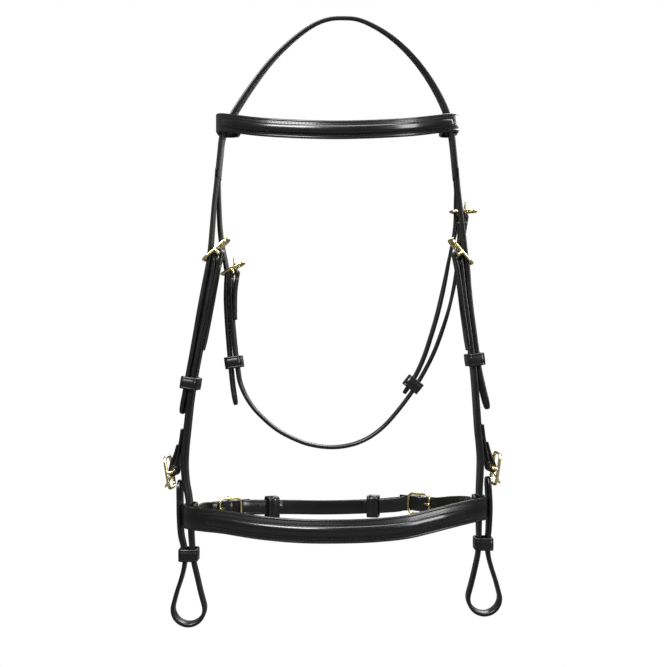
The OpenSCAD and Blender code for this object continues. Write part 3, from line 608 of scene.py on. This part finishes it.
def punch(obj, pts, across, t, spots, radius=HOLE_R):
    """Cuts round holes through a strap at distances along it. A cut that fails leaves the strap whole."""
    dist = lengths(pts)
    rows = axes_along(pts, across)
    sides = range(HOLE_SIDES)
    cutter = Builder()
    for s in spots:
        i = max(k for k in range(len(dist)) if dist[k] <= s)
        p, along, wide, deep = rows[i]
        angles = [math.tau * k / HOLE_SIDES for k in sides]
        ring = [(along * math.cos(a) + wide * math.sin(a)) * radius for a in angles]
        verts = [p + q - deep * (t + 1) for q in ring] + [p + q + deep * (t + 1) for q in ring]
        faces = []
        for k in sides:
            q = (k + 1) % HOLE_SIDES
            faces.append((k, HOLE_SIDES + k, HOLE_SIDES + q, q))
        faces += [tuple(sides), tuple(range(2 * HOLE_SIDES - 1, HOLE_SIDES - 1, -1))]
        cutter.add(verts, faces)
    mesh = bpy.data.meshes.new("cutter")
    mesh.from_pydata(cutter.verts, [], cutter.faces)
    mesh.update()
    tool = bpy.data.objects.new("cutter", mesh)
    bpy.context.scene.collection.objects.link(tool)
    mod = obj.modifiers.new("holes", "BOOLEAN")
    mod.operation, mod.object, mod.solver, mod.use_self = "DIFFERENCE", tool, "EXACT", True
    bpy.context.view_layer.update()
    depsgraph = bpy.context.evaluated_depsgraph_get()
    cut = bpy.data.meshes.new_from_object(obj.evaluated_get(depsgraph))
    obj.modifiers.clear()
    if len(cut.polygons) > len(obj.data.polygons):
        obj.data = cut
    bpy.data.objects.remove(tool)


# ---- Leather pieces ----

def simple_strap(name, route, width, thick, tip=0, inner=None, holes=(), replaces=()):
    b = Builder()
    pts = spline(route)
    add_strap(b, pts, strap_across, width, thick, tip=tip, inner=inner)
    obj = b.piece(name, "straps", "strap_leather", STRAP_MATS, replaces)
    if holes:
        punch(obj, pts, strap_across, thick, holes)


def holes_from(first, count):
    return [first + HOLE_GAP * k for k in range(count)]


# The headpiece: the crown, and the billets split from each end of it.
simple_strap("crown", CROWN, CHEEK_W + THROAT_W, CROWN_T, inner=-1, replaces=("headpiece",))
for label, cheek, throat, side in (
    ("left", CHEEK_BILLET_L, THROAT_BILLET_L, 1),
    ("right", CHEEK_BILLET_R, THROAT_BILLET_R, -1),
):
    simple_strap(label + "_cheek_billet", cheek, CHEEK_W, STRAP_T,
                 tip=11, inner=side, holes=holes_from(100, 6))
    simple_strap(label + "_throatlash_billet", throat, THROAT_W, THROAT_T,
                 tip=9, inner=side, holes=holes_from(110, 5))


def loop_leave(centre, side, on):
    """A point on the straight run that leaves a bit loop at one side, at a distance past the loop's arc."""
    a = math.radians(LOOP_SPREAD)
    return (centre[0] + side * (LOOP_R * math.cos(a) - on * math.sin(a)), 0,
            centre[2] + LOOP_R * math.sin(a) + on * math.cos(a), 0)


def cheekpiece(label, main, back, centre, side, billet, buckle):
    """One continuous strap: turned round its buckle, down to the bit loop, and up again as a billet."""
    b, thread = Builder(), Builder()
    down = spline(main + [loop_leave(centre, side, LOOP_LEAD), loop_leave(centre, side, 0)])
    up = spline([loop_leave(centre, -side, 0), loop_leave(centre, -side, LOOP_LEAD)] + billet)
    turn = spline(back)
    arc = []
    steps = 5 * FINE
    for i in range(1, steps):
        a = math.radians(LOOP_SPREAD - (180 + 2 * LOOP_SPREAD) * i / steps)
        arc.append((centre[0] + side * LOOP_R * math.cos(a), 0, centre[2] + LOOP_R * math.sin(a), 0))
    rest, thick = add_fold(b, *buckle[:2], turn, down, UP, strap_across, CHEEK_W, STRAP_T, side)
    whole = rest + arc + up
    add_strap(b, whole, strap_across, CHEEK_W, thick, tip=8)
    obj = b.piece(label + "_cheek_strap", "straps", "strap_leather", STRAP_MATS, (label + "_cheekpiece",))
    last_hole = lengths(whole)[-1] - 16
    punch(obj, whole, strap_across, STRAP_T, [last_hole, last_hole - HOLE_GAP])
    turn_end = lengths(turn)[-1]
    for row in (-1, 1):
        offset = row * (CHEEK_W / 2 - CREASE_MID)
        add_stitches(thread, rest, strap_across, offset, -side, thick, start=3, stop=turn_end - 7)
        add_stitches(thread, turn, strap_across, offset, side, SKIVED_T, start=8, stop=turn_end - 9)
    thread.piece(label + "_cheek_stitching", "straps", "strap_leather", [THREAD_MAT])


cheekpiece("left", CHEEKPIECE_L, TURN_BACK_L, LOOP_CENTRE_L, 1, BIT_BILLET_L, BUCKLES["left_cheek"])
cheekpiece("right", CHEEKPIECE_R, TURN_BACK_R, LOOP_CENTRE_R, -1, BIT_BILLET_R, BUCKLES["right_cheek"])


def chape(label, main, back, buckle, side):
    """A short sewn strap that holds the bit buckle."""
    b, thread = Builder(), Builder()
    turn = spline(back)
    rest, _ = add_fold(b, *buckle[:2], turn, spline(main), -UP, strap_across, CHEEK_W, SKIVED_T, None)
    add_strap(b, rest, strap_across, CHEEK_W, SKIVED_T)
    b.piece(label + "_chape", "straps", "strap_leather", STRAP_MATS, (label + "_bit_chape",))
    turn_end = lengths(turn)[-1]
    for row in (-1, 1):
        offset = row * (CHEEK_W / 2 - CREASE_MID)
        add_stitches(thread, turn, strap_across, offset, side, SKIVED_T, start=8, stop=turn_end - 6)
    thread.piece(label + "_chape_stitching", "straps", "strap_leather", [THREAD_MAT])


chape("left", CHAPE_L, CHAPE_BACK_L, BUCKLES["left_bit"], 1)
chape("right", CHAPE_R, CHAPE_BACK_R, BUCKLES["right_bit"], -1)


def strap_between(b, ends, main, across, width, main_t):
    """A strap with a fold round a bar at each end.

    Each end is (bar, size, turned-back leg, direction of the fold, flesh side). Returns the strap's points
    from the second end back to the first, and its thickness as a function of the distance along them.
    """
    (bar, size, leg, far, inner), second = ends
    rest, thick_first = add_fold(b, bar, size, leg, main, far, across, width, main_t, inner)
    bar, size, leg, far, inner = second
    rest, thick_second = add_fold(b, bar, size, leg, rest[::-1], far, across, width, main_t, inner)
    total = lengths(rest)[-1]

    def thick(s):
        return min(thick_second(s), thick_first(total - s))

    add_strap(b, rest, across, width, thick)
    return rest, thick


def throatlash():
    b, thread = Builder(), Builder()
    legs = spline(THROAT_TURN_L), spline(THROAT_TURN_R)
    buckles = BUCKLES["left_throatlash"], BUCKLES["right_throatlash"]
    ends = [(*buckle[:2], leg, UP, inner) for buckle, leg, inner in zip(buckles, legs, (1, -1))]
    strap, thick = strap_between(b, ends, spline(THROATLASH), strap_across, THROAT_W, THROAT_T)
    b.piece("throatlash_strap", "straps", "strap_leather", STRAP_MATS, ("throatlash",))
    total = lengths(strap)[-1]
    rows = [row * (THROAT_W / 2 - 1.8) for row in (-1, 1)]
    for leg in legs:
        for offset in rows:
            add_stitches(thread, leg, strap_across, offset, 1, SKIVED_T, start=7, stop=lengths(leg)[-1] - 5)
    for offset in rows:
        add_stitches(thread, strap, strap_across, offset, -1, thick, start=3, stop=34)
        add_stitches(thread, strap, strap_across, offset, -1, thick, start=total - 34, stop=total - 2)
    thread.piece("throatlash_stitching", "straps", "strap_leather", [THREAD_MAT])


throatlash()


def outer_route(route, first, last, away):
    """Part of a band's route, moved out of its face."""
    out = []
    for i in range(first, last + 1):
        a, c = route[max(i - 1, 0)], route[min(i + 1, len(route) - 1)]
        along = (spot(c) - spot(a)).normalized()
        out.append(tuple(spot(route[i]) - UP.cross(along).normalized() * away))
    return out


def padded_roll(name, body, route, span, height, node, count=15, run=26):
    """The raised, padded centre of a band, which rises over a run at each end."""
    b = Builder()
    pts = spline(outer_route(route, *span, BAND_T / 2))
    dist = lengths(pts)
    profiles = []
    for s in dist:
        ends = min(s, dist[-1] - s)
        share = min(1.0, 0.12 + 0.88 * math.sqrt(min(1.0, ends / run)))
        profile = []
        for k in range(count):
            a = math.pi * k / (count - 1)
            u = math.copysign(abs(math.cos(a)) ** 0.8, math.cos(a)) * height / 2 * (0.55 + 0.45 * share)
            profile.append((u, RISE * share * math.sin(a) ** 0.72 - 0.12))
        profiles.append(profile)
    add_sweep(b, axes_along(pts, band_across), profiles)
    obj = b.piece(name, body, "band_leather", [PAD_MAT, PAD_MAT], (node,))


def band_piece(name, body, route, height, node, span, roll):
    """A band with its end loops, stitched along its edges and along both sides of its padded roll."""
    b, thread = Builder(), Builder()
    pts = spline(route)
    add_strap(b, pts, band_across, height, BAND_T, inner=-1)
    b.piece(name, body, "band_leather", STRAP_MATS, (node,))
    front = spline(route[span[0]:span[1] + 1])
    for row in (-1, 1):
        add_stitches(thread, front, band_across, row * (roll / 2 + 1.1), 1, BAND_T,
                     start=4, gap=2.9, long=2.1, fat=0.26)
        add_stitches(thread, pts, band_across, row * (height / 2 - 1.2), 1, BAND_T,
                     start=3, gap=2.9, long=2.1, fat=0.24)
    thread.piece(name + "_stitching", body, "band_leather", [THREAD_MAT])


band_piece("browband_leather", "browband", BROWBAND, BROWBAND_H, "browband_strip", (8, 18), BROWBAND_ROLL)
padded_roll("browband_padding", "browband", BROWBAND, (9, 17), BROWBAND_ROLL, "browband_raise")
band_piece("noseband_leather", "noseband", NOSEBAND, NOSEBAND_H, "noseband_strip", (8, 19), NOSEBAND_ROLL)
padded_roll("noseband_padding", "noseband", NOSEBAND, (9, 18), NOSEBAND_ROLL, "noseband_raise")


# ---- The rear of the noseband ----

def chin_dirs(buckle):
    """A chin buckle's directions: out of its face, and toward its top."""
    side = buckle[2]
    return Vector((side * 0.6, -0.8, 0)), Vector((-side * 0.8, -0.6, 0))


def by_chin(buckle, above, outside):
    out, top = chin_dirs(buckle)
    return tuple(Vector(buckle[0]) + top * above + out * outside)


def noseband_billet(label, buckle, start, tail):
    route = start + [by_chin(buckle, above, outside) for above, outside in CROSSING] + tail
    b = Builder()
    pts = spline(route)
    add_strap(b, pts, band_across, THROAT_W, BAND_T, tip=8)
    node = label + "_noseband_billet"
    obj = b.piece(label + "_rear_billet", "noseband", "band_leather", STRAP_MATS, (node,))
    total = lengths(pts)[-1]
    punch(obj, pts, band_across, BAND_T, [total - 14, total - 24, total - 58, total - 68], CHIN_HOLE_R)


noseband_billet("left", CHIN_BUCKLES["left_chin"], *REAR_BILLET_L)
noseband_billet("right", CHIN_BUCKLES["right_chin"], *REAR_BILLET_R)


def chin_strap():
    b, thread = Builder(), Builder()
    buckles = CHIN_BUCKLES["left_chin"], CHIN_BUCKLES["right_chin"]
    out = SKIVED_T / 2 + SMALL["bar"] + FOLD_GAP
    starts = [[by_chin(buckle, 0, -out), by_chin(buckle, -7, -1.4)] for buckle in buckles]
    main = spline(starts[0] + CHIN_STRAP + starts[1][::-1])
    legs = [spline([by_chin(buckle, *p) for p in [(0, out)] + CHIN_LEG]) for buckle in buckles]
    ends = [(buckle[0], SMALL, leg, chin_dirs(buckle)[1], None) for buckle, leg in zip(buckles, legs)]
    strap_between(b, ends, main, band_across, THROAT_W, CHIN_T)
    b.piece("chin_leather", "noseband", "band_leather", STRAP_MATS, ("chin_strap",))
    for row in (-1, 1):
        for leg, face in zip(legs, (-1, 1)):
            add_stitches(thread, leg, band_across, row * (THROAT_W / 2 - 1.7), face, SKIVED_T,
                         start=7, stop=lengths(leg)[-1] - 2)
    thread.piece("chin_stitching", "noseband", "band_leather", [THREAD_MAT])


chin_strap()


# ---- Keepers ----

def keeper_piece(name, place, width, depth):
    """A sewn leather loop, open along its own Z."""
    b = Builder()
    half_x, half_y = (depth + KEEPER_T) / 2, (width + KEEPER_PLAY + KEEPER_T) / 2
    ring = [(x, y, 0) for x, y in round_ring(half_x, half_y, KEEPER_BEND)]
    frames = turned(axes_along(ring, band_across, closed=True), place)
    add_sweep(b, frames, [strap_profile(KEEPER_L, KEEPER_T)] * len(frames), closed=True)
    b.piece(name + "_loop", name, "keeper_leather", STRAP_MATS, (name,))


def turn(angle, axis):
    return Matrix.Rotation(math.radians(angle), 4, axis)


for label, (centre, lean, toe, width, depth) in KEEPERS.items():
    toed = Matrix.Rotation(-math.atan(toe), 4, "Z")
    keeper_piece(label + "_keeper", Matrix.Translation(centre) @ (toed @ turn(lean, "Y")), width, depth)
for label, (centre, angle) in CHIN_KEEPERS.items():
    place = Matrix.Translation(centre) @ turn(angle, "Z") @ turn(90, "Y") @ turn(90, "Z")
    keeper_piece(label + "_keeper", place, THROAT_W + 1, CHIN_KEEPER_DEPTH)


# ---- Brass ----

def wire_profile(r, sides):
    """A round wire's section."""
    angles = [math.tau * k / sides for k in range(sides)]
    return [(r * math.cos(a), r * math.sin(a)) for a in angles]


def add_rod(b, place, start, end, r1, r2, sides=16, cap=0.25):
    """A tapered round rod between two points, with softened ends."""
    start, end = Vector(start), Vector(end)
    along = (end - start).normalized()
    ref = Vector((0, 1, 0)) if abs(along.y) < 0.9 else Vector((1, 0, 0))
    wide = (ref - ref.dot(along) * along).normalized()
    deep = along.cross(wide)
    length = (end - start).length
    rings = [
        (0, r1 * 0.55), (cap * 0.35, r1 * 0.86), (cap, r1),
        (length - cap, r2), (length - cap * 0.35, r2 * 0.86), (length, r2 * 0.55),
    ]
    frames = turned([(start + along * s, along, wide, deep) for s, _ in rings], place)
    add_sweep(b, frames, [wire_profile(r, sides) for _, r in rings])


def buckle_place(bar, side, tilt, toe):
    """A buckle's own axes: X out of its face, Y along its bar, Z toward its top."""
    a = math.radians(tilt)
    fx, fy = Vector((1, -toe, 0)).normalized(), Vector((toe, 1, 0)).normalized()
    x = side * (math.cos(a) * fx - math.sin(a) * UP)
    z = math.sin(a) * fx + math.cos(a) * UP
    return Matrix.Translation(bar) @ Matrix((x, side * fy, z)).transposed().to_4x4()


def chin_buckle_place(buckle):
    out, top = chin_dirs(buckle)
    a = math.radians(buckle[3])
    x, z = out * math.cos(a) + top * math.sin(a), top * math.cos(a) - out * math.sin(a)
    return Matrix.Translation(buckle[0]) @ Matrix((x, Vector((0, 0, buckle[2])), z)).transposed().to_4x4()


def add_eye(b, place, inner, sides=32):
    """The tongue's eye: a bevelled ring round the bar."""
    outer = inner + EYE_WALL
    section = [
        (-EYE_HALF, inner), (EYE_HALF, inner), (EYE_HALF, outer - EYE_BEVEL),
        (EYE_HALF - EYE_BEVEL, outer), (EYE_BEVEL - EYE_HALF, outer), (-EYE_HALF, outer - EYE_BEVEL),
    ]
    m = len(section)
    verts, faces = [], []
    for k in range(sides):
        a = math.tau * k / sides
        verts += [place @ Vector((rad * math.cos(a), y, rad * math.sin(a))) for y, rad in section]
        j = (k + 1) % sides
        for q in range(m):
            p = (q + 1) % m
            faces.append((k * m + q, j * m + q, j * m + p, k * m + p))
    b.add(verts, faces, flat=set(range(len(faces))))


def buckle_pieces(label, place, size, opened):
    """A centre-bar buckle's frame and the tongue that turns on its bar."""
    r, bar = size["r"], size["bar"]
    half_l, half_w = size["l"] / 2 - r, size["w"] / 2 - r
    b = Builder()
    ring = [(BAR_DIP, y, z) for y, z in round_ring(half_w, half_l, FRAME_BEND, 10)]
    frames = turned(axes_along(ring, lambda p: Vector((1, 0, 0)), closed=True), place)
    flat_faced = [(min(u, r * 0.84), v) for u, v in wire_profile(r, 20)]
    add_sweep(b, frames, [flat_faced] * len(frames), closed=True)
    for s in (-1, 1):
        add_rod(b, place, (-bar - 0.1, s * half_w, 0), (BAR_DIP + 0.2, s * half_w, 0), bar + 0.08, r * 0.98)
    add_rod(b, place, (0, -half_w, 0), (0, half_w, 0), bar, bar, sides=20)
    name = label + "_buckle_frame"
    b.piece(label + "_brass_frame", name, "brass", [BRASS_MAT, BRASS_MAT], (name,))

    tongue = Builder()
    eye = bar + EYE_PLAY
    add_eye(tongue, place, eye)
    lift = BAR_DIP + r + TONGUE_LIFT
    angle = math.atan2(lift, half_l) + math.radians(opened)
    reach = math.hypot(lift, half_l) + TONGUE_OVERHANG
    way = Vector((math.sin(angle), 0, math.cos(angle)))
    add_rod(tongue, place, way * (eye + 0.3), way * reach, TONGUE_R, TONGUE_TIP_R, cap=0.7)
    name = label + "_buckle_tongue"
    tongue.piece(label + "_brass_tongue", name, "brass", [BRASS_MAT], (name,))


for label, (bar, size, side, tilt, toe, opened) in BUCKLES.items():
    buckle_pieces(label, buckle_place(bar, side, tilt, toe), size, opened)
for label, buckle in CHIN_BUCKLES.items():
    buckle_pieces(label, chin_buckle_place(buckle), buckle[1], 0)


# ---- Light, backdrop and camera ----

AIM = (0, 0, -0.26)
# Each light: place, size and power.
LIGHTS = {
    "key": ((-0.75, -1.25, 0.85), (0.9, 0.7), 60),
    "fill": ((1.25, -1.0, 0.35), (0.5, 1.2), 26),
    "top": ((0.1, -0.35, 1.2), (1.2, 0.5), 24),
    "rim": ((0.5, 1.3, 0.5), (1.2, 1.0), 16),
}
AMBIENT = 0.14
FLOOR_Z, FLOOR_HALF = -0.7, 3.0
CAMERA_AT, LENS, SENSOR = (-0.002, -1.2, -0.269), 76.2, 36

scene = bpy.context.scene
for name, (where, size, power) in LIGHTS.items():
    light = bpy.data.lights.new(name, "AREA")
    light.shape, light.size, light.size_y = "RECTANGLE", size[0], size[1]
    light.energy = power
    lamp = bpy.data.objects.new(name, light)
    lamp.location = where
    lamp.rotation_euler = (Vector(AIM) - Vector(where)).to_track_quat("-Z", "Y").to_euler()
    scene.collection.objects.link(lamp)


def white_to_camera(tree, shader, white, output):
    """Sends camera rays to a plain white shader, and all other rays to the given one."""
    rays = add_node(tree, "ShaderNodeLightPath")
    choose = add_node(tree, "ShaderNodeMixShader")
    tree.links.new(rays.outputs["Is Camera Ray"], choose.inputs["Fac"])
    tree.links.new(shader.outputs[0], choose.inputs[1])
    tree.links.new(white.outputs[0], choose.inputs[2])
    tree.links.new(choose.outputs["Shader"], tree.nodes[output].inputs["Surface"])


WHITE = (1, 1, 1, 1)
world = bpy.data.worlds.new("studio")
scene.world = world
world.use_nodes = True
ambient = world.node_tree.nodes["Background"]
ambient.inputs["Color"].default_value = WHITE
ambient.inputs["Strength"].default_value = AMBIENT
backdrop = add_node(world.node_tree, "ShaderNodeBackground", Color=WHITE, Strength=1.0)
white_to_camera(world.node_tree, ambient, backdrop, "World Output")

# A floor below the hanging bridle: blank white to the camera, and a dim bounce for the light.
floor_mat, floor_tree, floor_bsdf = new_material("pale_floor")
floor_bsdf.inputs["Base Color"].default_value = (0.1, 0.1, 0.1, 1)
floor_bsdf.inputs["Roughness"].default_value = 0.9
glow = add_node(floor_tree, "ShaderNodeEmission", Color=WHITE, Strength=1.0)
white_to_camera(floor_tree, floor_bsdf, glow, "Material Output")
corners = [(sx * FLOOR_HALF, sy * FLOOR_HALF, FLOOR_Z) for sx, sy in ((-1, -1), (1, -1), (1, 1), (-1, 1))]
floor_mesh = bpy.data.meshes.new("floor")
floor_mesh.from_pydata(corners, [], [(0, 1, 2, 3)])
floor_mesh.materials.append(floor_mat)
floor = bpy.data.objects.new("floor", floor_mesh)
scene.collection.objects.link(floor)

scene.view_settings.view_transform = "Standard"
camera_data = bpy.data.cameras.new("camera")
camera_data.lens, camera_data.sensor_width = LENS, SENSOR
camera_data.clip_start, camera_data.clip_end = 0.05, 20
camera = bpy.data.objects.new("camera", camera_data)
camera.location = CAMERA_AT
camera.rotation_euler = (math.radians(90), 0, 0)
scene.collection.objects.link(camera)
scene.camera = camera
